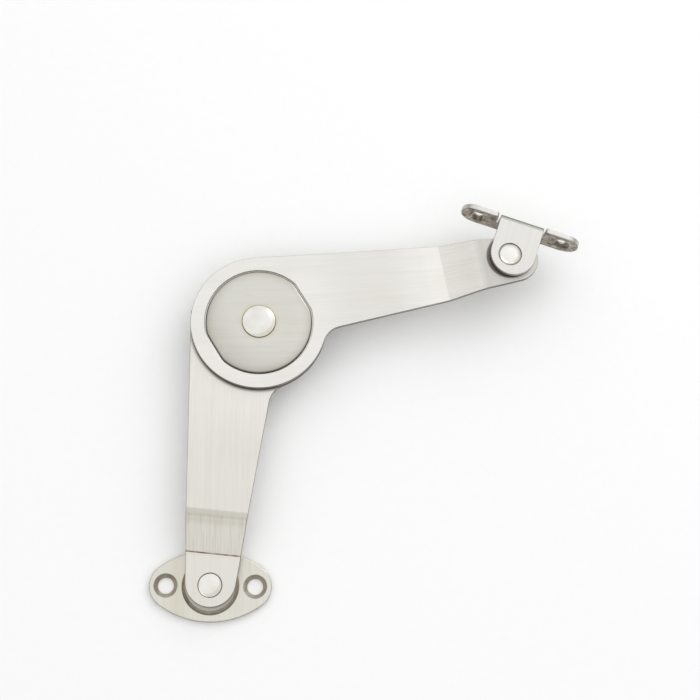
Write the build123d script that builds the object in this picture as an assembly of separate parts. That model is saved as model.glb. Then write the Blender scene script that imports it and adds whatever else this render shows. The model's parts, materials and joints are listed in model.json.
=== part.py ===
from build123d import *
import math
import os

# Five inch friction window stay, all sizes in millimetres.
# Frame: origin at the centre of the frame plate's two screw holes, on the plate's underside.
# +X runs along the screw holes, +Y towards the hub, +Z away from the window frame.
# The stay is modelled half open, with the arms at about a right angle.

# Sheet and spacing of the layers
SHEET = 2.0
JOGGLE_RISE = 5.0
RING_GAP = 0.8
THIN_WASHER = 0.5
RUNNING_CLEARANCE = 0.05
EDGE_ROUND = 0.25
SOFT_EDGE_ROUND = 0.5
DOME_SHARE = 0.6            # how much of the hub rivet's head and tail height is rounded
UPRIGHT_SHARE = 0.9
TOLERANCE = 1e-4

# Both arms, seen from the outside of the hub with the straight edge on the left
HUB_RADIUS = 24.6
PIVOT_ALONG = 93.2
TAPER_DEGREES = 9.8
NECK_RADIUS = 8.0
JOGGLE_START = 70.6
JOGGLE_END = 83.5
JOGGLE_SKEW_DEGREES = 6.0
SOFT_BEND_RADIUS = 7.0
TIGHT_BEND_RADIUS = 0.6

# What differs between the arms
SASH_ARM_EDGE = HUB_RADIUS
SASH_ARM_END_RADIUS = 8.4
SASH_ARM_TIP_REACH = 10.8
SASH_ARM_SHOULDER = 0.0
SASH_PIVOT_ASIDE = 17.3
SASH_ARM_DEGREES = 5.46
FRAME_ARM_EDGE = 24.7
FRAME_ARM_END_RADIUS = 8.8
FRAME_ARM_TIP_REACH = 7.5
FRAME_ARM_SHOULDER = 5.0
FRAME_PIVOT_ASIDE = 16.05
FRAME_ARM_DEGREES = -88.95

# Keyed opening in each hub, and the cap that fills it
KEY_RADIUS = 19.6
KEY_FLAT = 18.8
KEY_DEGREES = 27.0
KEY_DEPTH = 1.2
HUB_BORE_RADIUS = 16.5
CAP_GAP = 0.35
CAP_THICKNESS = 1.4
CAP_ROUND = 0.8
CAP_HOLLOW_RADIUS = 15.0
CAP_WALL = 0.8

# Friction stack inside the hub
PAD_RADIUS = 14.7
PAD_THICKNESS = 1.0
FRICTION_PLATE_RADIUS = 16.1
FRICTION_PLATE_THICKNESS = 0.8
SPRING_RADIUS = 10.0
SPRING_THICKNESS = 0.45
SPACER_INNER_RADIUS = 17.5
SPACER_OUTER_RADIUS = 23.0
HUB_SHANK_RADIUS = 4.0
HUB_HEAD_RADIUS = 6.1
HUB_HEAD_HEIGHT = 0.9
HUB_TAIL_RADIUS = 6.0
HUB_TAIL_HEIGHT = 1.2
HUB_WASHER_RADIUS = 8.0
STACK_HOLE_RADIUS = 4.3

# Small pivot rivets, sunk in the sheet
SHANK_RADIUS = 2.6
HEAD_RADIUS = 4.2
HEAD_SINK_DEPTH = 1.0
HEAD_RECESS = 0.15
HEAD_GAP = 0.15
TAIL_RADIUS = 4.2
TAIL_HEIGHT = 1.1
PIVOT_WASHER_RADIUS = 8.6
SASH_WASHER_RADIUS = 6.5

# Frame plate
PLATE_LENGTH = 42.8
PLATE_WIDTH = 24.8
PLATE_SIDE_RADIUS = 30.7
PLATE_HOLE_SPACING = 31.2
HOLE_RADIUS = 2.8
COUNTERSINK_RADIUS = 4.2
BOSS_FOOT_RADIUS = 9.9
BOSS_TOP_RADIUS = 8.7
BOSS_RISE = 1.5
BOSS_HOLLOW_RADIUS = 8.0
BOSS_ROUND = 0.4

# Sash bracket: a round-ended tab bent down into a flange with two screw holes
TAB_WIDTH = 16.6
TAB_OFFSET = 1.0
TAB_END_SETBACK = 0.8
FLANGE_FACE = 14.6
FLANGE_LENGTH = 45.6
FLANGE_DEPTH = 12.0
FLANGE_HOLE_SPACING = 32.4
BEND_RADIUS = 2.3
NOTCH_WIDTH = 0.8
NOTCH_DEPTH = 3.4
EAR_CORNER_RADIUS = 1.2
FLANGE_HOLE_RADIUS = 2.2
FLANGE_COUNTERSINK_RADIUS = 3.5
BRACKET_DEGREES = -17.8

# Levels of the layers above the plate's underside
BOSS_TOP = SHEET + BOSS_RISE
FRAME_ARM_END_LOW = BOSS_TOP + THIN_WASHER
FRAME_ARM_TOP = FRAME_ARM_END_LOW + JOGGLE_RISE + SHEET
SASH_ARM_LOW = FRAME_ARM_TOP + RING_GAP
SASH_ARM_END_LOW = SASH_ARM_LOW + JOGGLE_RISE
TAB_LOW = SASH_ARM_END_LOW + SHEET + THIN_WASHER
TAB_TOP = TAB_LOW + SHEET


def turned(x, y, degrees):
    """The point (x, y) turned about the origin."""
    angle = math.radians(degrees)
    return (x * math.cos(angle) - y * math.sin(angle), x * math.sin(angle) + y * math.cos(angle))


FRAME_PIVOT = (0.0, 0.0)
HUB = tuple(-value for value in turned(PIVOT_ALONG, -FRAME_PIVOT_ASIDE, FRAME_ARM_DEGREES))
SASH_REACH = turned(PIVOT_ALONG, SASH_PIVOT_ASIDE, SASH_ARM_DEGREES)
SASH_PIVOT = (HUB[0] + SASH_REACH[0], HUB[1] + SASH_REACH[1])


def rod(centre, radius, low, high):
    """Solid cylinder standing along Z between two levels."""
    upright = (Align.CENTER, Align.CENTER, Align.MIN)
    return Pos(centre[0], centre[1], low) * Cylinder(radius, high - low, align=upright)


def ring(centre, inner, outer, low, high):
    """Flat washer between two levels."""
    return rod(centre, outer, low, high) - rod(centre, inner, low, high)


def soften(solid, level, size):
    """Round every edge that lies in the horizontal plane at one level."""
    edges = solid.edges().filter_by(lambda edge: abs(edge.bounding_box().min.Z - level) < 1e-4
                                    and abs(edge.bounding_box().max.Z - level) < 1e-4)
    return fillet(edges, size)


def arm_outline(edge, end_radius, tip_reach, shoulder):
    """Flat blank: hub disc at the origin, straight outer edge, tapering inner edge, round end."""
    end = Vector(PIVOT_ALONG + tip_reach - end_radius, edge - end_radius)
    taper = math.radians(TAPER_DEGREES)
    inward = Vector(math.sin(taper), -math.cos(taper))
    along = Vector(math.cos(taper), math.sin(taper))
    neck_offset = inward.dot(end) + end_radius + NECK_RADIUS
    neck_along = math.sqrt((HUB_RADIUS + NECK_RADIUS) ** 2 - neck_offset ** 2)
    neck = inward * neck_offset + along * neck_along
    on_hub = neck * (HUB_RADIUS / (HUB_RADIUS + NECK_RADIUS))
    on_edge = neck - inward * NECK_RADIUS
    towards = (on_hub + on_edge) * 0.5 - neck
    neck_middle = neck + towards.normalized() * NECK_RADIUS
    hub_top = Vector(-shoulder, math.sqrt(HUB_RADIUS ** 2 - shoulder ** 2))
    corner = Vector(-shoulder, edge)
    lines = [
        Line(corner, (end.X, edge)),
        ThreePointArc((end.X, edge), (end.X + end_radius, end.Y), end + inward * end_radius),
        Line(end + inward * end_radius, on_edge),
        ThreePointArc(on_edge, neck_middle, on_hub),
        ThreePointArc(on_hub, (-HUB_RADIUS, 0), hub_top),
    ]
    if (corner - hub_top).length > TOLERANCE:
        lines.append(Line(hub_top, corner))
    return make_face(lines)


def joggle_profile():
    """Side view of the bent sheet: hub level, slope, raised end. X runs along the arm."""
    run = JOGGLE_END - JOGGLE_START
    shift = SHEET * math.tan(math.atan2(JOGGLE_RISE, run) / 2)
    near, far = -2 * HUB_RADIUS, PIVOT_ALONG + 2 * HUB_RADIUS
    points = [
        (near, 0), (JOGGLE_START + shift / 2, 0),
        (JOGGLE_END + shift / 2, JOGGLE_RISE), (far, JOGGLE_RISE),
        (far, JOGGLE_RISE + SHEET), (JOGGLE_END - shift / 2, JOGGLE_RISE + SHEET),
        (JOGGLE_START - shift / 2, SHEET), (near, SHEET),
    ]
    profile = make_face(Polyline(*points, close=True))
    bend = profile.vertices().filter_by(lambda vertex: near < vertex.X < far).sort_by(Axis.X)
    first, second = bend[:2].sort_by(Axis.Y), bend[2:].sort_by(Axis.Y)
    profile = fillet(first[1], TIGHT_BEND_RADIUS)
    profile = fillet(profile.vertices().sort_by_distance(first[0].center())[0], SOFT_BEND_RADIUS)
    profile = fillet(profile.vertices().sort_by_distance(second[0].center())[0], TIGHT_BEND_RADIUS)
    profile = fillet(profile.vertices().sort_by_distance(second[1].center())[0], SOFT_BEND_RADIUS)
    return profile


def is_upright(edge):
    """True for a short edge that runs through the sheet's thickness."""
    return edge.bounding_box().size.Z > UPRIGHT_SHARE * edge.length and edge.length < 2 * SHEET


def round_rims(body, bend_direction):
    """Break the sharp edges of a sheet part, but not the lines of its bends or its upright corners."""
    rims = []
    for edge in body.edges():
        straight = edge.geom_type == GeomType.LINE
        bend_line = straight and abs((edge % 0).dot(bend_direction)) > 1 - TOLERANCE
        if not is_upright(edge) and not bend_line:
            rims.append(edge)
    return fillet(rims, EDGE_ROUND)


def keyed_blank(gap, low, high):
    """Round blank with two opposite flats, which keys the cap to its arm."""
    height = high - low
    centre = (Align.CENTER, Align.CENTER, Align.MIN)
    blank = Cylinder(KEY_RADIUS - gap, height, align=centre)
    blank &= Box(2 * (KEY_FLAT - gap), 3 * KEY_RADIUS, height, align=centre)
    return Pos(0, 0, low) * Rot(0, 0, KEY_DEGREES) * blank


def arm(edge, end_radius, tip_reach, shoulder):
    """One pressed arm with its hub at the origin, inner face at z = 0, end stepped outwards."""
    blank = extrude(arm_outline(edge, end_radius, tip_reach, shoulder), JOGGLE_RISE + SHEET + 1)
    strip = extrude(Plane.XZ * joggle_profile(), 2 * HUB_RADIUS, both=True)
    body = blank & (Rot(0, 0, JOGGLE_SKEW_DEGREES) * strip)
    body = round_rims(body, Plane.XZ.rotated((0, 0, JOGGLE_SKEW_DEGREES)).z_dir)
    body -= rod((0, 0), HUB_BORE_RADIUS, -1, SHEET + 1)
    body -= keyed_blank(0, SHEET - KEY_DEPTH, SHEET + 1)
    opening = body.edges().filter_by_position(Axis.Z, SHEET, SHEET)
    opening = opening.filter_by(lambda edge: edge.center(CenterOf.MASS).length < HUB_RADIUS - 2)
    return fillet(opening, EDGE_ROUND)


def cap():
    """Pressed cap with a rounded rim, seated on the ledge of the keyed opening."""
    low = SHEET - KEY_DEPTH
    high = low + CAP_THICKNESS
    body = soften(keyed_blank(CAP_GAP, low, high), high, CAP_ROUND)
    return body - rod((0, 0), CAP_HOLLOW_RADIUS, low, high - CAP_WALL)


SASH_SIDE = Pos(HUB[0], HUB[1], SASH_ARM_LOW) * Rot(0, 0, SASH_ARM_DEGREES)
FRAME_SIDE = Pos(HUB[0], HUB[1], FRAME_ARM_TOP) * Rot(0, 0, FRAME_ARM_DEGREES) * Rot(180, 0, 0)
FRAME_CAP_LOW = FRAME_ARM_TOP - SHEET + KEY_DEPTH - CAP_THICKNESS
FRAME_CAP_FLOOR = FRAME_CAP_LOW + CAP_WALL
SASH_CAP_TOP = SASH_ARM_LOW + SHEET - KEY_DEPTH + CAP_THICKNESS
SASH_CAP_CEILING = SASH_CAP_TOP - CAP_WALL


def sunk_rivet(centre, top, tail_top):
    """Rivet whose head lies in a seat in the top sheet; the tail is spread below tail_top."""
    seat = top - HEAD_SINK_DEPTH
    head = rod(centre, HEAD_RADIUS, seat, top - HEAD_RECESS)
    head = soften(head, top - HEAD_RECESS, EDGE_ROUND)
    tail = rod(centre, TAIL_RADIUS, tail_top - TAIL_HEIGHT, tail_top)
    tail = soften(tail, tail_top - TAIL_HEIGHT, SOFT_EDGE_ROUND)
    shank = rod(centre, SHANK_RADIUS, tail_top - TAIL_HEIGHT / 2, seat + HEAD_SINK_DEPTH / 2)
    return head + tail + shank


def rivet_seat(centre, top, radius, gap, depth):
    """Hole for the shank with the wider seat for the sunk head at its top."""
    seat = rod(centre, HEAD_RADIUS + HEAD_GAP, top - HEAD_SINK_DEPTH, top + 1)
    return seat + rod(centre, radius + gap, top - depth - 1, top)


def frame_plate():
    """Oval screw plate with a round embossed boss under the arm's end."""
    half_length = PLATE_LENGTH / 2
    side_centre = PLATE_WIDTH / 2 - PLATE_SIDE_RADIUS
    drop = side_centre ** 2 + half_length ** 2 - PLATE_SIDE_RADIUS ** 2
    end_radius = drop / (2 * (half_length - PLATE_SIDE_RADIUS))
    end_x = half_length - end_radius
    reach = PLATE_SIDE_RADIUS / (PLATE_SIDE_RADIUS - end_radius)
    corner = (end_x * reach, side_centre - side_centre * reach)
    right, left = corner, (-corner[0], corner[1])
    low_left, low_right = (left[0], -left[1]), (right[0], -right[1])
    outline = make_face([
        ThreePointArc(left, (0, PLATE_WIDTH / 2), right),
        ThreePointArc(right, (half_length, 0), low_right),
        ThreePointArc(low_right, (0, -PLATE_WIDTH / 2), low_left),
        ThreePointArc(low_left, (-half_length, 0), left),
    ])
    body = soften(extrude(outline, SHEET), SHEET, SOFT_EDGE_ROUND)
    centre = (Align.CENTER, Align.CENTER, Align.MIN)
    boss = Cone(BOSS_FOOT_RADIUS, BOSS_TOP_RADIUS, BOSS_RISE, align=centre)
    body += soften(Pos(*FRAME_PIVOT, SHEET) * boss, BOSS_TOP, BOSS_ROUND)
    boss_foot = body.edges().filter_by(GeomType.CIRCLE).sort_by_distance((BOSS_FOOT_RADIUS, 0, SHEET))[0]
    body = fillet(boss_foot, BOSS_ROUND)
    body -= rod(FRAME_PIVOT, BOSS_HOLLOW_RADIUS, 0, BOSS_RISE)
    body -= rod(FRAME_PIVOT, SHANK_RADIUS, 0, BOSS_TOP)
    for side in (-1, 1):
        hole = screw_hole(SHEET, HOLE_RADIUS, COUNTERSINK_RADIUS)
        body -= Pos(side * PLATE_HOLE_SPACING / 2, 0, 0) * hole
    return body


def screw_hole(top, radius, countersink_radius):
    """Through hole with a right-angled countersink open at the given level."""
    depth = countersink_radius - radius
    centre = (Align.CENTER, Align.CENTER, Align.MIN)
    cone = Pos(0, 0, top - depth) * Cone(radius, countersink_radius, depth, align=centre)
    return rod((0, 0), radius, top - 2 * SHEET, top + 1) + cone


def sash_bracket():
    """Tab over the sash arm's end, bent down into an oval flange. Local X runs along the flange."""
    inner = FLANGE_FACE - SHEET
    half_tab = TAB_WIDTH / 2
    section = [
        (-TAB_WIDTH, SHEET), (FLANGE_FACE, SHEET), (FLANGE_FACE, -NOTCH_DEPTH),
        (inner, -NOTCH_DEPTH), (inner, 0), (-TAB_WIDTH, 0),
    ]
    profile = make_face(Polyline(*section, close=True))
    corners = profile.vertices()
    outer_corner = corners.sort_by_distance((FLANGE_FACE, SHEET, 0))[0]
    profile = fillet(outer_corner, BEND_RADIUS)
    inner_corner = profile.vertices().sort_by_distance((inner, 0, 0))[0]
    profile = fillet(inner_corner, BEND_RADIUS - SHEET)
    side_view = Plane(origin=(0, 0, 0), x_dir=(0, 1, 0), z_dir=(1, 0, 0))
    bent = extrude(side_view * profile, half_tab, both=True)
    straight = FLANGE_FACE - TAB_END_SETBACK
    plan = Pos(0, TAB_END_SETBACK) * Circle(half_tab)
    plan += Pos(0, TAB_END_SETBACK + straight / 2) * Rectangle(TAB_WIDTH, straight)
    bent &= Pos(0, 0, -NOTCH_DEPTH) * extrude(plan, NOTCH_DEPTH + SHEET)
    rims = []
    for edge in bent.edges():
        on_side = abs(abs(edge.center().X) - half_tab) < TOLERANCE and edge.length > SHEET
        on_end = edge.center().Y < 0 and edge.bounding_box().size.Z < TOLERANCE
        if on_end or (on_side and not is_upright(edge)):
            rims.append(edge)
    bent = fillet(rims, EDGE_ROUND)

    oval = Pos(0, SHEET - FLANGE_DEPTH / 2) * SlotOverall(FLANGE_LENGTH, FLANGE_DEPTH)
    notch_half = half_tab + NOTCH_WIDTH
    notch_height = 2 * (NOTCH_DEPTH + SHEET)
    outline = oval - Pos(0, notch_height / 2 - NOTCH_DEPTH) * Rectangle(2 * notch_half, notch_height)
    ear_corners = outline.vertices().filter_by(lambda vertex: abs(vertex.Y - SHEET) < TOLERANCE)
    ear_corners = ear_corners.filter_by(lambda vertex: abs(abs(vertex.X) - notch_half) < TOLERANCE)
    outline = fillet(ear_corners, EAR_CORNER_RADIUS)
    upright = Plane(origin=(0, FLANGE_FACE, 0), x_dir=(1, 0, 0), z_dir=(0, -1, 0))
    flange = extrude(upright * outline, SHEET)
    flange = fillet(flange.edges().filter_by(lambda edge: edge.length > 2 * notch_half), EDGE_ROUND)
    body = bent + flange
    for side in (-1, 1):
        hole = Pos(side * FLANGE_HOLE_SPACING / 2, inner, SHEET - FLANGE_DEPTH / 2) * Rot(90, 0, 0)
        body -= hole * screw_hole(0, FLANGE_HOLE_RADIUS, FLANGE_COUNTERSINK_RADIUS)
    placed = Pos(SASH_PIVOT[0], SASH_PIVOT[1], TAB_LOW) * Rot(0, 0, BRACKET_DEGREES)
    return placed * Pos(TAB_OFFSET, 0, 0) * body


def sash_arm():
    body = SASH_SIDE * arm(SASH_ARM_EDGE, SASH_ARM_END_RADIUS, SASH_ARM_TIP_REACH, SASH_ARM_SHOULDER)
    return body - rod(SASH_PIVOT, SHANK_RADIUS + RUNNING_CLEARANCE, 0, TAB_TOP)


def frame_arm():
    body = FRAME_SIDE * arm(FRAME_ARM_EDGE, FRAME_ARM_END_RADIUS, FRAME_ARM_TIP_REACH, FRAME_ARM_SHOULDER)
    end_top = FRAME_ARM_END_LOW + SHEET
    return body - rivet_seat(FRAME_PIVOT, end_top, SHANK_RADIUS, RUNNING_CLEARANCE, SHEET)


def disc_spring(low, high):
    """Coned spring washer between two levels, as a turned section."""
    corners = [
        (STACK_HOLE_RADIUS, high - SPRING_THICKNESS), (SPRING_RADIUS, low),
        (SPRING_RADIUS, low + SPRING_THICKNESS), (STACK_HOLE_RADIUS, high),
    ]
    section = make_face(Polyline(*corners, close=True))
    return Pos(HUB[0], HUB[1], 0) * revolve(Plane.XZ * section, Axis.Z)


def hub_rivet():
    """Large rivet through the hub: low domed head on the sash cap, spread tail under the frame cap."""
    tail_top = FRAME_CAP_LOW - THIN_WASHER
    head_top = SASH_CAP_TOP + HUB_HEAD_HEIGHT
    tail_low = tail_top - HUB_TAIL_HEIGHT
    head = rod(HUB, HUB_HEAD_RADIUS, SASH_CAP_TOP, head_top)
    head = soften(head, head_top, HUB_HEAD_HEIGHT * DOME_SHARE)
    tail = rod(HUB, HUB_TAIL_RADIUS, tail_low, tail_top)
    tail = soften(tail, tail_low, HUB_TAIL_HEIGHT * DOME_SHARE)
    shank = rod(HUB, HUB_SHANK_RADIUS, (tail_low + tail_top) / 2, (SASH_CAP_TOP + head_top) / 2)
    return head + tail + shank


def build_parts():
    lower_pad_top = FRAME_CAP_FLOOR + PAD_THICKNESS
    plate_top = lower_pad_top + FRICTION_PLATE_THICKNESS
    upper_pad_top = plate_top + PAD_THICKNESS
    hub_washer_low = FRAME_CAP_LOW - THIN_WASHER
    frame_end_top = FRAME_ARM_END_LOW + SHEET
    sash_end_top = SASH_ARM_END_LOW + SHEET
    sash_tail_top = SASH_ARM_END_LOW - THIN_WASHER
    loose_shank = SHANK_RADIUS + RUNNING_CLEARANCE
    fixed_bore = rod(HUB, HUB_SHANK_RADIUS, 0, TAB_TOP)
    turning_bore = rod(HUB, HUB_SHANK_RADIUS + RUNNING_CLEARANCE, 0, TAB_TOP)
    # centre, bore radius, outer radius, lower level, upper level
    rings = {
        "frame_pivot_washer": (FRAME_PIVOT, loose_shank, PIVOT_WASHER_RADIUS, BOSS_TOP, FRAME_ARM_END_LOW),
        "frame_friction_pad": (HUB, STACK_HOLE_RADIUS, PAD_RADIUS, FRAME_CAP_FLOOR, lower_pad_top),
        "hub_friction_plate": (HUB, STACK_HOLE_RADIUS, FRICTION_PLATE_RADIUS, lower_pad_top, plate_top),
        "sash_friction_pad": (HUB, STACK_HOLE_RADIUS, PAD_RADIUS, plate_top, upper_pad_top),
        "hub_spacer_ring": (HUB, SPACER_INNER_RADIUS, SPACER_OUTER_RADIUS, FRAME_ARM_TOP, SASH_ARM_LOW),
        "hub_backing_washer": (HUB, HUB_SHANK_RADIUS, HUB_WASHER_RADIUS, hub_washer_low, FRAME_CAP_LOW),
        "sash_pivot_washer": (SASH_PIVOT, loose_shank, SASH_WASHER_RADIUS, sash_end_top, TAB_LOW),
        "sash_backing_washer": (
            SASH_PIVOT, loose_shank, SASH_WASHER_RADIUS, sash_tail_top, SASH_ARM_END_LOW,
        ),
    }
    parts = {node: ring(*sizes) for node, sizes in rings.items()}
    parts["frame_plate"] = frame_plate()
    parts["frame_pivot_rivet"] = sunk_rivet(FRAME_PIVOT, frame_end_top, BOSS_RISE)
    parts["frame_arm"] = frame_arm()
    parts["frame_friction_cap"] = FRAME_SIDE * cap() - fixed_bore
    parts["hub_disc_spring"] = disc_spring(upper_pad_top, SASH_CAP_CEILING)
    parts["sash_friction_cap"] = SASH_SIDE * cap() - turning_bore
    parts["hub_rivet"] = hub_rivet()
    parts["sash_arm"] = sash_arm()
    parts["sash_bracket"] = sash_bracket() - rivet_seat(SASH_PIVOT, TAB_TOP, SHANK_RADIUS, 0, SHEET)
    parts["sash_pivot_rivet"] = sunk_rivet(SASH_PIVOT, TAB_TOP, sash_tail_top)
    return parts


os.makedirs("parts", exist_ok=True)
for node, solid in build_parts().items():
    export_step(solid, f"parts/{node}.step")
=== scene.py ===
import json
import math

import bmesh
import bpy
from mathutils import Matrix, Vector


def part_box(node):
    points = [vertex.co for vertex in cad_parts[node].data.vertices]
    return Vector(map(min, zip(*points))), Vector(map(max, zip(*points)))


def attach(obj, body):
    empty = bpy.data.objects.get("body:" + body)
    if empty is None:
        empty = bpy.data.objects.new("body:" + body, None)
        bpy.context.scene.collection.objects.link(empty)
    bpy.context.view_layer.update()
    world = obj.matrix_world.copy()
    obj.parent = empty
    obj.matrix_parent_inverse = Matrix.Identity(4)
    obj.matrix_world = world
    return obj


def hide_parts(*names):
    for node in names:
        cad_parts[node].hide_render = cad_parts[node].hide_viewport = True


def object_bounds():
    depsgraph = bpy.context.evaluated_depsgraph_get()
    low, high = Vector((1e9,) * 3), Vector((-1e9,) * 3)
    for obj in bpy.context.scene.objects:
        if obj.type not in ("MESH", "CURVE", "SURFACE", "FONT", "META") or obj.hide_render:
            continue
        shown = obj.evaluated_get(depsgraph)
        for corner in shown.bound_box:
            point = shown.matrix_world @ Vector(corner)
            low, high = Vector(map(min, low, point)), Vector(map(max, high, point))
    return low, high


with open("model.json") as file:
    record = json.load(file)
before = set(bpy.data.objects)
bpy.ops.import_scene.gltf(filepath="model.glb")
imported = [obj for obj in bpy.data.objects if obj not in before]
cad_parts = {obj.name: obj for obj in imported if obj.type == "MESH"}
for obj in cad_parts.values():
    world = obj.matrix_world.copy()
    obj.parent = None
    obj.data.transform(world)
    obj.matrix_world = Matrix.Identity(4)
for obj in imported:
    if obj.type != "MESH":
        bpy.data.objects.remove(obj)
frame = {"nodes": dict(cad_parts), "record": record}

MM = 0.001
CAD_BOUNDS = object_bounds()
BODY_OF = {node: body for body, nodes in frame["record"]["behaviour"]["bodies"].items() for node in nodes}
JOINTS = {joint["name"]: joint for joint in frame["record"]["behaviour"]["joints"]}


def level(node, end):
    """Lowest (0) or highest (1) height of a CAD node."""
    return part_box(node)[end][2]


# Places, taken from the frame
HUB, SASH_PIVOT, FRAME_PIVOT = (Vector((*JOINTS[name]["pos_m"][:2], 0))
                                for name in ("hub_pivot", "sash_pivot", "frame_pivot"))
SASH_CAP_TOP = level("sash_friction_cap", 1)
FRAME_CAP_LOW = level("frame_friction_cap", 0)

# Directions at rest, as in the CAD. Both arms run from the hub, and their bends are a little skew to them.
SASH_ARM_ANGLE = math.radians(5.46)
FRAME_ARM_ANGLE = math.radians(-88.95)
BEND_SKEW = math.radians(6.0)
SASH_BEND_ANGLE = SASH_ARM_ANGLE + BEND_SKEW
FRAME_BEND_ANGLE = FRAME_ARM_ANGLE - BEND_SKEW
BRACKET_ANGLE = math.radians(-17.8)

# Arms: the slope's start and end and the lower arm's crease, as distances from the hub square to the bends
SLOPE_START, SLOPE_END = 70.5 * MM, 83.4 * MM
CREASE_START, CREASE_END = 83.30 * MM, 83.80 * MM
# Their edges get painted shade, but only beyond the opening for the cap
ARM_EDGE_SHADE_TONE, ARM_RIM_FROM = (0.36, 0.35, 0.33), 22 * MM

# Bracket: the tab's middle beside the pivot and half its width, and the ears' holes from the tab's middle,
# down from the top, and out to the countersink's edge
TAB_SHIFT, TAB_HALF = 1.0 * MM, 8.3 * MM
EAR_HOLE_ASIDE, EAR_HOLE_DOWN, EAR_HOLE_EDGE = 16.2 * MM, 6.0 * MM, 3.55 * MM
# Heights where the painted shade of the fold starts and where the dark of the flange's inner face ends
FOLD_FOOT, INNER_FACE_TOP = 19.6 * MM, 20.9 * MM

# Pressed caps: outline with two flats softened where they meet, rolled rim, slight crown, hollow back
CAP_RADIUS, CAP_FLAT, KEY_SOFT = 19.25 * MM, 18.45 * MM, 0.35 * MM
KEY_TURN = math.radians(27)
CAP_RIM, CAP_CROWN = 0.9 * MM, 0.16 * MM
CAP_BORE, CAP_HOLLOW, CAP_WALL, CAP_THICKNESS = 4.05 * MM, 15 * MM, 0.8 * MM, 1.4 * MM
# Their finish: the upper cap's brushing, and the middle of the part left out of the painted shade, from the
# hub
CAP_BRUSH_ANGLE = math.radians(2)
CAP_UNSHADED_SHIFT = Vector((6.0, 7.0, 0)) * MM

# Hub rivet: truncated dome on the sash cap, spread tail under the frame cap
HUB_HEAD, HUB_TAIL, HUB_SHANK = 6.1 * MM, 6.0 * MM, 4.0 * MM
# Pivot rivets: dished head in its seat, spread tail below
PIN_HEAD, PIN_TAIL, PIN_SHANK, PIN_SINK = 4.2 * MM, 4.2 * MM, 2.6 * MM, 1.0 * MM
# Their finish: colour, tint of the painted shade in the groove round a pivot rivet's head, and how far the
# painted shade crescent is off centre
RIVET_BRIGHT, PIN_GROOVE_SHADE = (0.78, 0.77, 0.735), (0.75, 0.72, 0.67)
RIVET_SHADE_SHIFT = Vector((-0.9, 1.1, 0)) * MM

PLATE_BRUSH_ANGLE = math.radians(93)
SEGMENTS = 128          # facets round a rivet; a cap has twice as many

# Camera: how it is turned, and where it stands from a point just under the sash cap's face
CAMERA_TILT, CAMERA_TURN, CAMERA_ROLL = (math.radians(angle) for angle in (15.9, -12.34, 13.31))
CAMERA_AWAY, CAMERA_ACROSS, CAMERA_UP = 434.2 * MM, 34.45 * MM, -2.42 * MM
CAMERA_AIM_BELOW = 0.2 * MM
CAMERA_LENS, CAMERA_SENSOR = 61.71, 36.0

# Light: a big soft sky, brightest where the flat faces mirror it, and one soft key from the upper right
KEY_DIRECTION = Vector((0.50, 0.72, 0.55)).normalized()
SKY_DIRECTION = Vector((0.06, 0.26, 0.96)).normalized()
SKY_STOPS = ((0.0, 0.16), (0.28, 0.42), (0.52, 0.88), (0.75, 0.98), (1.0, 1.0))
SKY_STRENGTH = 1.12
KEY_POWER = 1.3
KEY_SIZE, KEY_AWAY = 0.45, 0.9
FLOOR_SIZE, FLOOR_GAP = 20, 0.05 * MM


def set_stops(ramp, stops):
    """Fill a colour ramp with (position, value) stops, where a value is a grey or a colour."""
    elements = ramp.color_ramp.elements
    while len(elements) < len(stops):
        elements.new(0.5)
    for element, (position, value) in zip(elements, stops):
        element.position = position
        element.color = (*value, 1) if isinstance(value, tuple) else (value, value, value, 1)


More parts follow.
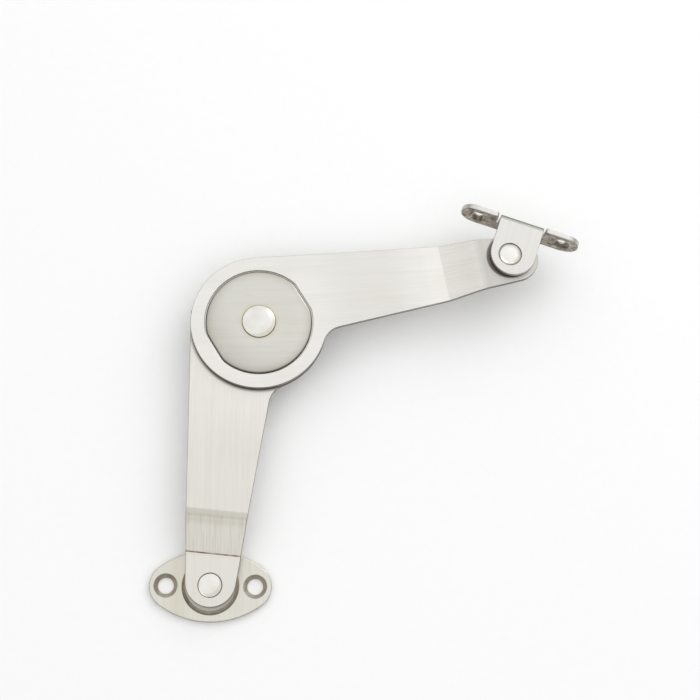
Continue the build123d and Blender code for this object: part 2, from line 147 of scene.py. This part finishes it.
class Shader:
    """A material's node tree, with short calls for the nodes that the finishes use."""

    def __init__(self, name):
        self.material = bpy.data.materials.new(name)
        self.material.use_nodes = True
        self.nodes = self.material.node_tree.nodes
        self.links = self.material.node_tree.links
        self.surface = self.nodes["Principled BSDF"]

    def set(self, target, value):
        if isinstance(value, bpy.types.NodeSocket):
            self.links.new(value, target)
        elif isinstance(value, tuple) and len(value) == 3 and target.type == "RGBA":
            target.default_value = (*value, 1)
        else:
            target.default_value = value

    def add(self, kind, inputs=None, **settings):
        node = self.nodes.new(kind)
        for key, value in settings.items():
            setattr(node, key, value)
        for key, value in (inputs or {}).items():
            self.set(node.inputs[key], value)
        return node

    def position(self, origin=(0, 0, 0), turn=0.0):
        """Object coordinates in metres about an origin, in axes turned about Z."""
        place = self.add("ShaderNodeTexCoord")
        moved = self.add("ShaderNodeVectorMath", {0: place.outputs["Object"], 1: origin},
                         operation="SUBTRACT")
        turned = self.add("ShaderNodeVectorRotate", {"Vector": moved.outputs[0], "Angle": -turn},
                          rotation_type="Z_AXIS")
        return turned.outputs[0]

    def stretch(self, vector, scale):
        return self.add("ShaderNodeVectorMath", {0: vector, 1: scale}, operation="MULTIPLY").outputs[0]

    def noise(self, vector, scale, detail=3.0, roughness=0.5):
        stretched = self.stretch(vector, scale)
        node = self.add("ShaderNodeTexNoise", {"Vector": stretched, "Scale": 1.0, "Detail": detail,
                                               "Roughness": roughness})
        return node.outputs["Fac"]

    def ramp(self, factor, *stops):
        """Grey or colour ramp through (position, value) stops."""
        node = self.add("ShaderNodeValToRGB", {"Fac": factor})
        set_stops(node, stops)
        return node.outputs["Color"]

    def mix(self, factor, first, second, blend="MIX"):
        node = self.add("ShaderNodeMix", data_type="RGBA", blend_type=blend)
        for target, value in (("Factor", factor), ("A", first), ("B", second)):
            self.set(next(i for i in node.inputs if i.name == target and i.enabled), value)
        return next(o for o in node.outputs if o.enabled)

    def math(self, operation, first, second=0.0, third=0.0):
        return self.add("ShaderNodeMath", {0: first, 1: second, 2: third}, operation=operation).outputs[0]

    def smooth(self, value, start, end):
        """0 at start and 1 at end, with a soft step between them."""
        return self.add("ShaderNodeMapRange", {"Value": value, "From Min": start, "From Max": end},
                        interpolation_type="SMOOTHSTEP").outputs[0]

    def band(self, value, low, high, soft):
        """1 between low and high, fading to 0 over soft on each side."""
        rise = self.smooth(value, low - soft, low + soft)
        fall = self.smooth(value, high + soft, high - soft)
        return self.math("MULTIPLY", rise, fall)

    def split(self, vector):
        return self.add("ShaderNodeSeparateXYZ", {0: vector}).outputs

    def distance(self, vector):
        """Distance from the Z axis of a vector's frame."""
        flat = self.stretch(vector, (1, 1, 0))
        return self.add("ShaderNodeVectorMath", {0: flat}, operation="LENGTH").outputs["Value"]

    def bump(self, height, distance, strength=1.0, normal=None):
        node = self.add("ShaderNodeBump", {"Height": height, "Distance": distance, "Strength": strength})
        if normal:
            self.set(node.inputs["Normal"], normal)
        return node.outputs["Normal"]


class Satin(Shader):
    """Satin nickel brushed along one direction: hairlines, longer streaks, clouds, specks and waves."""

    # Noise scales per metre: along the brushing, across it, and up
    HAIRLINES, STREAKS, CLOUDS = (90, 4200, 260), (26, 900, 120), (48, 62, 80)
    SPECKS, WAVES = (1500, 1500, 1500), (70, 160, 160)
    # Upright share of a face's normal: above LEVEL it counts as level, below STEEP as on edge
    LEVEL, STEEP = 0.955, 0.70

    def __init__(self, name, colour, origin, turn, roughness=0.34, contrast=1.0, speck=0.35):
        super().__init__(name)
        self.place = self.position(origin, turn)
        hairlines = self.noise(self.place, self.HAIRLINES, 4, 0.7)
        streaks = self.noise(self.place, self.STREAKS, 3, 0.6)
        clouds = self.noise(self.place, self.CLOUDS, 2)
        specks = self.noise(self.place, self.SPECKS, 2, 0.6)
        self.brush = self.math("MULTIPLY_ADD", hairlines, 0.5, self.math("MULTIPLY", streaks, 0.5))
        low, high = (tuple(min(c * k, 1) for c in colour)
                     for k in (1 - 0.075 * contrast, 1 + 0.05 * contrast))
        self.base = self.ramp(self.brush, (0.36, low), (0.5, colour), (0.64, high))
        self.base = self.mix(self.ramp(clouds, (0.40, 0.0), (0.68, 0.75)), self.base,
                             (0.965, 0.955, 0.93), "MULTIPLY")
        dots = self.ramp(specks, (0.70, 0.0), (0.80, speck))
        self.base = self.mix(dots, self.base, (0.80, 0.78, 0.74), "MULTIPLY")
        spread = 0.08 * min(contrast, 1.0)
        self.rough = self.ramp(self.brush, (0.3, roughness - spread), (0.7, roughness + spread))
        self.normal = self.bump(self.brush, 0.012 * MM, 0.4 * contrast)
        waves = self.noise(self.place, self.WAVES, 1)
        self.normal = self.bump(waves, 0.05 * MM, 0.12, self.normal)

    def rim(self):
        """1 on faces that stand on edge, 0 on level and gently sloping ones."""
        upright = self.split(self.add("ShaderNodeNewGeometry").outputs["Normal"])[2]
        return self.smooth(self.math("ABSOLUTE", upright), self.LEVEL, self.STEEP)

    def shade(self, mask, colour, amount=1.0):
        """Darken or tint where a mask says."""
        self.base = self.mix(self.math("MULTIPLY", mask, amount), self.base, colour, "MULTIPLY")

    def bands(self, value, *rows):
        """Tint where a length is in a band. Rows: start, end and softness in mm, tint, and how strongly."""
        for start, end, soft, tint, amount in rows:
            self.shade(self.band(value, start * MM, end * MM, soft * MM), tint, amount)

    def done(self, edge_shade_tone=(0.60, 0.585, 0.56), beyond=None):
        """Close the material. Faces on edge get painted shade, on an arm only beyond its cap's opening."""
        rim = self.rim()
        if beyond:
            rim = self.math("MULTIPLY", rim, self.band(self.distance(self.place), beyond, 1.0, 0.5 * MM))
        # Painted shade on faces that stand on edge
        self.shade(rim, edge_shade_tone)
        self.set(self.surface.inputs["Base Color"], self.base)
        self.set(self.surface.inputs["Roughness"], self.rough)
        self.set(self.surface.inputs["Normal"], self.normal)
        self.surface.inputs["Metallic"].default_value = 1.0
        return self.material


def mesh_object(name, shape, material, node, sharp_degrees=38):
    """A finished piece from a bmesh: shaded smooth but for its sharp edges, standing for a CAD node."""
    bmesh.ops.recalc_face_normals(shape, faces=shape.faces)
    for edge in shape.edges:
        edge.smooth = edge.calc_face_angle(0) < math.radians(sharp_degrees)
    for face in shape.faces:
        face.smooth = True
    mesh = bpy.data.meshes.new(name)
    shape.to_mesh(mesh)
    shape.free()
    mesh.materials.append(material)
    piece = bpy.data.objects.new(name, mesh)
    bpy.context.scene.collection.objects.link(piece)
    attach(piece, BODY_OF[node])
    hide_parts(node)
    return piece


def skin(shape, loops, closed=True):
    """Faces between neighbouring loops of equally many points."""
    rings = [[shape.verts.new(point) for point in loop] for loop in loops]
    pairs = list(zip(rings, rings[1:])) + ([(rings[-1], rings[0])] if closed else [])
    for lower, upper in pairs:
        for i in range(len(lower)):
            j = (i + 1) % len(lower)
            shape.faces.new((lower[i], lower[j], upper[j], upper[i]))
    return rings


def lathe(profile, centre):
    """A closed turned form: profile points are (radius, height), the first and last on the axis."""
    shape = bmesh.new()
    loops = []
    for radius, height in profile[1:-1]:
        loops.append([(centre.x + radius * math.cos(a), centre.y + radius * math.sin(a), height)
                      for a in (2 * math.pi * i / SEGMENTS for i in range(SEGMENTS))])
    rings = skin(shape, loops, closed=False)
    for ring, (_, height) in ((rings[0], profile[0]), (rings[-1], profile[-1])):
        tip = shape.verts.new((centre.x, centre.y, height))
        for i in range(SEGMENTS):
            shape.faces.new((ring[i], ring[(i + 1) % SEGMENTS], tip))
    return shape


def arc(centre, radius, start, end, steps=7):
    """Points of a profile's rounded corner, angles in degrees."""
    angles = [math.radians(start + (end - start) * i / (steps - 1)) for i in range(steps)]
    return [(centre[0] + radius * math.cos(a), centre[1] + radius * math.sin(a)) for a in angles]


def keyed_loop(inset, height, turn):
    """Outline of a cap: a circle with two opposite flats, softened where they meet."""
    radius, flat = CAP_RADIUS - inset, CAP_FLAT - inset
    points = []
    for i in range(SEGMENTS * 2):
        angle = math.pi * i / SEGMENTS
        across = abs(math.cos(angle))
        to_flat = flat / max(across, 0.01)
        reach = min(radius, to_flat)
        blend = max(0.0, 1 - abs(to_flat - radius) / KEY_SOFT)
        reach -= 0.25 * KEY_SOFT * blend ** 2
        points.append((HUB.x + reach * math.cos(angle + turn),
                       HUB.y + reach * math.sin(angle + turn), height))
    return points


def pressed_cap(outer, inwards, turn):
    """Shallow pressed cap with a rolled rim and a slight crown. outer is the level of its visible face."""
    shape = bmesh.new()
    keyed_until = CAP_FLAT - CAP_HOLLOW * 0.7    # loops less far in from the rim than this keep the flats
    loops = [keyed_loop(0, outer + inwards * CAP_THICKNESS, turn)]
    for x, z in arc((CAP_RIM, CAP_RIM + CAP_CROWN), CAP_RIM, 180, 270, 9):
        loops.append(keyed_loop(x, outer + inwards * z, turn))
    for share in (0.12, 0.25, 0.4, 0.6, 0.8, 1.0):
        reach = CAP_RIM + (CAP_RADIUS - CAP_RIM - CAP_BORE) * share
        crown = CAP_CROWN * (1 - share) ** 3
        if reach < keyed_until:
            loops.append(keyed_loop(reach, outer + inwards * crown, turn))
        else:
            loops.append(round_loop(CAP_RADIUS - reach, outer + inwards * crown, turn))
    loops.append(round_loop(CAP_BORE, outer + inwards * CAP_WALL, turn))
    loops.append(round_loop(CAP_HOLLOW, outer + inwards * CAP_WALL, turn))
    loops.append(round_loop(CAP_HOLLOW, outer + inwards * CAP_THICKNESS, turn))
    skin(shape, loops)
    return shape


def round_loop(radius, height, turn):
    angles = (math.pi * i / SEGMENTS + turn for i in range(SEGMENTS * 2))
    return [(HUB.x + radius * math.cos(a), HUB.y + radius * math.sin(a), height) for a in angles]


def hub_rivet():
    """The head's profile from its middle outwards, the shank, then the tail back to the middle."""
    top, bottom = level("hub_rivet", 1), level("hub_rivet", 0)
    tail_top = FRAME_CAP_LOW - 0.5 * MM
    head = [(0, top - 0.10 * MM), (1.6 * MM, top - 0.07 * MM), (3.0 * MM, top), (3.7 * MM, top - 0.03 * MM)]
    head += [(4.4 * MM, top - 0.16 * MM), (5.1 * MM, top - 0.36 * MM)]
    head += arc((HUB_HEAD - 0.5 * MM, top - 0.88 * MM), 0.5 * MM, 62, 0)
    head += [(HUB_HEAD, SASH_CAP_TOP), (HUB_SHANK, SASH_CAP_TOP), (HUB_SHANK, tail_top), (HUB_TAIL, tail_top)]
    tail = arc((HUB_TAIL - 0.6 * MM, bottom + 0.6 * MM), 0.6 * MM, 0, -90)
    tail += [(3.4 * MM, bottom + 0.05 * MM), (2.6 * MM, bottom + 0.35 * MM), (1.2 * MM, bottom + 0.5 * MM),
             (0, bottom + 0.5 * MM)]
    return lathe(head + tail, HUB)


def pivot_rivet(node, centre, rim, dish):
    """Rivet with a dished head. rim is how wide the dish's sloping rim is, dish how deep it goes."""
    low, high = level(node, 0), level(node, 1)
    seat = high + 0.15 * MM - PIN_SINK
    tail_top = low + 1.1 * MM
    head = [(0, high - dish + 0.05 * MM), (PIN_HEAD - rim - 0.8 * MM, high - dish + 0.02 * MM),
            (PIN_HEAD - rim, high - dish)]
    head += [(PIN_HEAD - rim * 0.5, high - dish * 0.45), (PIN_HEAD - 0.12 * MM, high)]
    head += [(PIN_HEAD, high - 0.1 * MM)]
    head += [(PIN_HEAD, seat), (PIN_SHANK, seat), (PIN_SHANK, tail_top), (PIN_TAIL, tail_top)]
    tail = arc((PIN_TAIL - 0.5 * MM, low + 0.5 * MM), 0.5 * MM, 0, -90)
    tail += [(2.3 * MM, low), (1.7 * MM, low + 0.3 * MM), (0.8 * MM, low + 0.4 * MM), (0, low + 0.4 * MM)]
    return lathe(head + tail, centre)


def arm_finish(name, colour, turn, bend_turn, crease_at, crease_shade_tint, slope_contrast, contrast=0.7):
    """Arm brushed along its length, with coarser streaks and a painted shade line where it is bent."""
    satin = Satin(name, colour, HUB, turn, contrast=contrast)
    across_bend = satin.split(satin.position(HUB, bend_turn))[0]
    slope = satin.band(across_bend, SLOPE_START, SLOPE_END, 0.7 * MM)
    coarse = satin.noise(satin.place, (70, 1900, 40), 3, 0.6)
    tone = satin.ramp(coarse, (0.38, (0.84, 0.79, 0.71)), (0.48, (0.97, 0.96, 0.93)), (0.60, (1.0, 1.0, 1.0)))
    satin.base = satin.mix(satin.math("MULTIPLY", slope, slope_contrast), satin.base, tone, "MULTIPLY")
    broken = satin.ramp(satin.noise(satin.place, (300, 300, 0), 3), (0.3, 0.35), (0.6, 1.0))
    # Painted shade in a broken line along the bend
    line = satin.math("MULTIPLY", satin.band(across_bend, *crease_at, 0.12 * MM), broken)
    satin.shade(line, crease_shade_tint)
    return satin


def frame_arm_finish():
    satin = arm_finish("satin_frame_arm", (0.735, 0.72, 0.68), FRAME_ARM_ANGLE, FRAME_BEND_ANGLE,
                       (CREASE_START, CREASE_END), (0.24, 0.17, 0.13), 0.6)
    across_bend = satin.split(satin.position(HUB, FRAME_BEND_ANGLE))[0]
    satin.bands(across_bend,
                (84.25, 84.45, 0.25, (1.0, 0.82, 0.72), 0.8),       # painted reflection, a reddish line beyond the crease
                (68.9, 71.6, 0.5, (0.80, 0.79, 0.76), 1.0),         # painted shade, a dark line at the soft bend
                (71.0, 74.0, 1.2, (0.95, 0.945, 0.93), 1.0),        # painted shade just beyond it
                (73.5, 83.2, 1.5, (1.07, 1.06, 1.055), 1.0),        # painted highlight on the slope
                (40, 120, 9, (0.94, 0.94, 0.925), 1.0))             # outer part, a little darker
    # Painted shade, with some grime, where the upper arm's ring stands over the arm
    satin.bands(satin.distance(satin.position(HUB)), (23.0, 25.1, 0.9, (0.20, 0.155, 0.125), 0.9))
    return satin.done(ARM_EDGE_SHADE_TONE, ARM_RIM_FROM)


def sash_arm_finish():
    satin = arm_finish("satin_sash_arm", (0.745, 0.735, 0.705), SASH_ARM_ANGLE, SASH_BEND_ANGLE,
                       (SLOPE_START, SLOPE_START + 0.1 * MM), (0.88, 0.87, 0.85), 0.3, 0.6)
    across_bend = satin.split(satin.position(HUB, SASH_BEND_ANGLE))[0]
    satin.bands(across_bend,
                (82.8, 85.0, 1.0, (0.85, 0.85, 0.85), 0.9),         # painted shade, a dark line at the outer bend
                (84.5, 120, 1.2, (0.71, 0.70, 0.69), 0.9),          # painted shade on the flat end, under the bracket
                (76.0, 84.5, 5.0, (0.93, 0.93, 0.925), 1.0),        # painted shade on the slope, darker outwards
                (64.0, 70.2, 1.5, (1.03, 1.03, 1.03), 1.0),         # painted highlight in a strip before the slope
                (27, 56, 8, (0.93, 0.925, 0.92), 1.0))              # painted shade beyond the hub
    # Painted shade where the bracket's tab stands over the arm
    satin.bands(satin.distance(satin.position(SASH_PIVOT)), (6.0, 8.35, 0.3, (0.20, 0.17, 0.15), 0.85))
    return satin.done(ARM_EDGE_SHADE_TONE, ARM_RIM_FROM)


def cap_finish(name, turn):
    """Cap, a little darker than the arms, stained warm round the rivet, with painted shade towards its rim
    and on one side, scratched once.
    """
    satin = Satin(name, (0.62, 0.612, 0.565), HUB, turn, roughness=0.38, contrast=0.8)
    reach = satin.distance(satin.place)
    uneven = satin.ramp(satin.noise(satin.place, (330, 330, 330), 3), (0.35, 0.35), (0.65, 1.0))
    warm = satin.math("MULTIPLY", satin.band(reach, 6.0 * MM, 7.0 * MM, 0.7 * MM), uneven)
    satin.shade(warm, (0.97, 0.91, 0.74), 0.9)
    satin.bands(reach,
                (5.9, 6.25, 0.12, (0.55, 0.42, 0.22), 0.7),         # brown line against the rivet's head
                (17.6, 21, 2.2, (0.83, 0.82, 0.79), 1.0),           # painted shade towards the rim
                (18.4, 21, 0.7, (0.84, 0.84, 0.82), 1.0))           # painted shade again where it rolls over
    # Painted shade on the cap's lower-left side
    from_unshaded = satin.distance(satin.position(HUB + CAP_UNSHADED_SHIFT))
    satin.bands(from_unshaded, (22.0, 40, 6.0, (0.84, 0.835, 0.825), 1.0))
    across, along, _ = satin.split(satin.position(HUB, CAP_BRUSH_ANGLE))
    scratch = satin.math("MULTIPLY", satin.band(across, -5.0 * MM, -2.6 * MM, 0.4 * MM),
                         satin.band(along, 9.75 * MM, 9.85 * MM, 0.09 * MM))
    satin.shade(scratch, (0.72, 0.72, 0.70), 0.8)
    return satin.done()


def rivet_finish(name, centre, colour, head_radius, groove=(0.5, 0.45, 0.38)):
    """Pressed rivet: bright, faintly dented, with painted shade in a crescent and in the groove round its
    head.
    """
    satin = Satin(name, colour, centre, 0.6, roughness=0.27, contrast=0.02, speck=0.4)
    dents = satin.noise(satin.place, (170, 170, 170), 1, 0.4)
    satin.normal = satin.bump(dents, 0.9 * MM, 0.9, satin.normal)
    satin.shade(satin.ramp(dents, (0.35, 1.0), (0.60, 0.0)), (0.90, 0.895, 0.87))
    # Painted shade in a crescent, off the head's middle
    from_shift = satin.distance(satin.position(centre + RIVET_SHADE_SHIFT))
    crescent = satin.band(from_shift, head_radius - 0.15 * MM, head_radius + 3 * MM, 0.35 * MM)
    satin.shade(crescent, (0.86, 0.85, 0.81))
    # Painted shade in the groove round the head
    reach = satin.distance(satin.place)
    satin.shade(satin.band(reach, head_radius - 0.12 * MM, head_radius + 1 * MM, 0.12 * MM), groove)
    return satin.done()


def plate_finish():
    """Screw plate, brushed across, with painted shade on and round its boss, in a strip on one side, and
    mottled on its edges.
    """
    satin = Satin("satin_plate", (0.665, 0.65, 0.59), FRAME_PIVOT, PLATE_BRUSH_ANGLE, roughness=0.36)
    place = satin.position(FRAME_PIVOT)
    satin.bands(satin.distance(place),
                (-1, 10.0, 0.15, (0.66, 0.63, 0.58), 0.9),          # painted shade on the boss, under the arm's end
                (9.75, 10.05, 0.16, (0.50, 0.36, 0.27), 0.85))      # painted shade, a brown line round its foot
    side, _, height = satin.split(place)
    satin.bands(side, (-14, -9.5, 3, (0.93, 0.90, 0.86), 0.9))          # painted shade in a strip on one side
    satin.bands(height, (-1, 1.7, 0.15, (0.84, 0.81, 0.77), 0.9))       # edges, short of the top face
    grey = satin.noise(satin.place, (420, 420, 420), 3)
    # Faces on edge get painted shade, mottled grey
    return satin.done(satin.ramp(grey, (0.40, (0.80, 0.79, 0.77)), (0.60, (1.0, 1.0, 0.98))))


def bracket_finish():
    """Bracket: bright tab, painted shade on the fold, and mottled dark on the flange's inner face and in its
    holes.
    """
    satin = Satin("satin_bracket", (0.67, 0.66, 0.635), SASH_PIVOT, BRACKET_ANGLE + math.pi / 2,
                  contrast=0.5, speck=0.8)
    local = satin.position(SASH_PIVOT, BRACKET_ANGLE)
    along, outward, height = satin.split(local)
    inner = satin.math("MULTIPLY", satin.band(outward, 12.0 * MM, 12.9 * MM, 0.1 * MM),
                       satin.band(height, -20 * MM, INNER_FACE_TOP, 0.1 * MM))
    inner = satin.math("MULTIPLY", inner, satin.rim())
    from_middle = satin.math("ABSOLUTE", satin.math("SUBTRACT", along, TAB_SHIFT))
    aside = satin.math("SUBTRACT", from_middle, EAR_HOLE_ASIDE)
    below = satin.math("SUBTRACT", height, level("sash_bracket", 1) - EAR_HOLE_DOWN)
    radial = satin.math("SQRT", satin.math("ADD", satin.math("MULTIPLY", aside, aside),
                                           satin.math("MULTIPLY", below, below)))
    hole = satin.band(radial, -1 * MM, EAR_HOLE_EDGE, 0.1 * MM)
    inside_sheet = satin.band(outward, 12 * MM, 14.5 * MM, 0.1 * MM)
    dark = satin.math("MAXIMUM", inner, satin.math("MULTIPLY", hole, inside_sheet))
    mottle = satin.noise(local, (420, 420, 520), 5, 0.75)
    satin.base = satin.mix(dark, satin.base,
                           satin.ramp(mottle, (0.38, (0.17, 0.135, 0.10)), (0.5, (0.42, 0.375, 0.32)),
                                      (0.62, (0.70, 0.67, 0.62))))
    # Painted shade on the fold above the tab
    fold = satin.math("MULTIPLY", satin.band(height, FOLD_FOOT, 30 * MM, 0.6 * MM),
                      satin.band(along, TAB_SHIFT - TAB_HALF, TAB_SHIFT + TAB_HALF, 0.2 * MM))
    fold = satin.math("MULTIPLY", satin.band(outward, 12.45 * MM, 16 * MM, 0.12 * MM), fold)
    satin.shade(fold, (0.42, 0.435, 0.41))
    return satin.done((0.80, 0.79, 0.77))


def plain_satin(name, colour, centre, roughness=0.36, contrast=1.0):
    return Satin(name, colour, centre, 0.35, roughness, contrast).done()


def dull(name, dark, light, centre, roughness):
    """Non-metallic filler: fibre or nylon, faintly grained."""
    shader = Shader(name)
    place = shader.position(centre)
    grain = shader.noise(place, (900, 900, 900), 4, 0.65)
    shader.set(shader.surface.inputs["Base Color"], shader.ramp(grain, (0.35, dark), (0.65, light)))
    shader.set(shader.surface.inputs["Roughness"],
               shader.ramp(grain, (0.3, roughness - 0.08), (0.7, roughness + 0.08)))
    shader.set(shader.surface.inputs["Normal"], shader.bump(grain, 0.03 * MM, 0.5))
    return shader.material


def camera():
    """Long lens looking down on the stay, leaning a little from the vertical."""
    tilt, turn, roll = CAMERA_TILT, CAMERA_TURN, CAMERA_ROLL
    aim = Vector((HUB.x, HUB.y, SASH_CAP_TOP - CAMERA_AIM_BELOW))
    across = Vector((math.cos(turn), math.sin(turn), 0))
    up = Vector((-math.sin(turn) * math.cos(tilt), math.cos(turn) * math.cos(tilt), math.sin(tilt)))
    back = across.cross(up)
    place = aim + back * CAMERA_AWAY + across * CAMERA_ACROSS + up * CAMERA_UP
    right = across * math.cos(roll) + up * math.sin(roll)
    top = up * math.cos(roll) - across * math.sin(roll)
    data = bpy.data.cameras.new("camera")
    data.lens = CAMERA_LENS
    data.sensor_width = CAMERA_SENSOR
    data.clip_start = 0.01
    shot = bpy.data.objects.new("camera", data)
    turned = Matrix((right, top, back)).transposed().to_4x4()
    shot.matrix_world = Matrix.Translation(place) @ turned
    bpy.context.scene.collection.objects.link(shot)
    bpy.context.scene.camera = shot


def studio():
    """White table, a soft key light, and a sky that darkens towards the horizon."""
    low, high = Vector(CAD_BOUNDS[0]), Vector(CAD_BOUNDS[1])
    middle = (low + high) / 2
    mesh = bpy.data.meshes.new("floor")
    shape = bmesh.new()
    bmesh.ops.create_grid(shape, x_segments=1, y_segments=1, size=FLOOR_SIZE)
    shape.to_mesh(mesh)
    shape.free()
    floor = bpy.data.objects.new("floor", mesh)
    floor.location = (middle.x, middle.y, low.z - FLOOR_GAP)
    bpy.context.scene.collection.objects.link(floor)
    shader = Shader("table_white")
    grain = shader.noise(shader.position(), (300, 300, 300), 2)
    shader.set(shader.surface.inputs["Base Color"], shader.ramp(grain, (0.3, 0.955), (0.7, 0.965)))
    shader.surface.inputs["Roughness"].default_value = 0.9
    shader.surface.inputs["Specular IOR Level"].default_value = 0.1
    mesh.materials.append(shader.material)

    data = bpy.data.lights.new("key", "AREA")
    data.size = KEY_SIZE
    data.energy = KEY_POWER
    key = bpy.data.objects.new("key", data)
    key.location = middle + KEY_DIRECTION * KEY_AWAY
    key.rotation_euler = KEY_DIRECTION.to_track_quat("Z", "Y").to_euler()
    bpy.context.scene.collection.objects.link(key)

    world = bpy.data.worlds.new("studio")
    bpy.context.scene.world = world
    world.use_nodes = True
    nodes, links = world.node_tree.nodes, world.node_tree.links
    place = nodes.new("ShaderNodeTexCoord")
    toward = nodes.new("ShaderNodeVectorMath")
    toward.operation = "DOT_PRODUCT"
    toward.inputs[1].default_value = SKY_DIRECTION
    ramp = nodes.new("ShaderNodeValToRGB")
    links.new(place.outputs["Generated"], toward.inputs[0])
    links.new(toward.outputs["Value"], ramp.inputs["Fac"])
    links.new(ramp.outputs["Color"], nodes["Background"].inputs["Color"])
    nodes["Background"].inputs["Strength"].default_value = SKY_STRENGTH
    set_stops(ramp, SKY_STOPS)
    bpy.context.scene.view_settings.view_transform = "Standard"


def dress(node, material):
    """Give a CAD node, whose shape is already right, its finish."""
    target = frame["nodes"][node]
    target.data.materials.clear()
    target.data.materials.append(material)


def finish_pieces():
    """Materials for the CAD nodes that stay, and pressed shapes in place of the two caps and three rivets."""
    washer = plain_satin("washer_steel", (0.42, 0.40, 0.36), FRAME_PIVOT)
    fibre = dull("friction_fibre", (0.05, 0.035, 0.025), (0.11, 0.075, 0.05), HUB, 0.8)
    finishes = {
        "sash_arm": sash_arm_finish(), "frame_arm": frame_arm_finish(), "frame_plate": plate_finish(),
        "sash_bracket": bracket_finish(), "frame_pivot_washer": washer, "sash_pivot_washer": washer,
        "sash_backing_washer": washer, "hub_backing_washer": washer, "hub_friction_plate": washer,
        "hub_disc_spring": plain_satin("spring_steel", (0.30, 0.29, 0.28), HUB),
        "frame_friction_pad": fibre, "sash_friction_pad": fibre,
        # Near black, which also paints the shade in the gap under the upper arm's ring
        "hub_spacer_ring": dull("spacer_nylon", (0.012, 0.011, 0.010), (0.03, 0.028, 0.026), HUB, 0.55),
    }
    for node, material in finishes.items():
        dress(node, material)
    mesh_object("sash_cap_pressed", pressed_cap(SASH_CAP_TOP, -1, KEY_TURN + SASH_ARM_ANGLE),
                cap_finish("satin_sash_cap", CAP_BRUSH_ANGLE), "sash_friction_cap")
    mesh_object("frame_cap_pressed", pressed_cap(FRAME_CAP_LOW, 1, FRAME_ARM_ANGLE - KEY_TURN),
                cap_finish("satin_frame_cap", FRAME_ARM_ANGLE), "frame_friction_cap")
    mesh_object("hub_rivet_pressed", hub_rivet(),
                rivet_finish("hub_rivet_bright", HUB, RIVET_BRIGHT, HUB_HEAD), "hub_rivet")
    for node, centre, rim, dish in (("frame_pivot_rivet", FRAME_PIVOT, 0.45 * MM, 0.2 * MM),
                                    ("sash_pivot_rivet", SASH_PIVOT, 0.9 * MM, 0.55 * MM)):
        mesh_object(f"{node}_pressed", pivot_rivet(node, centre, rim, dish),
                    rivet_finish(f"{node}_bright", centre, RIVET_BRIGHT, PIN_HEAD, PIN_GROOVE_SHADE), node)


camera()
studio()
finish_pieces()
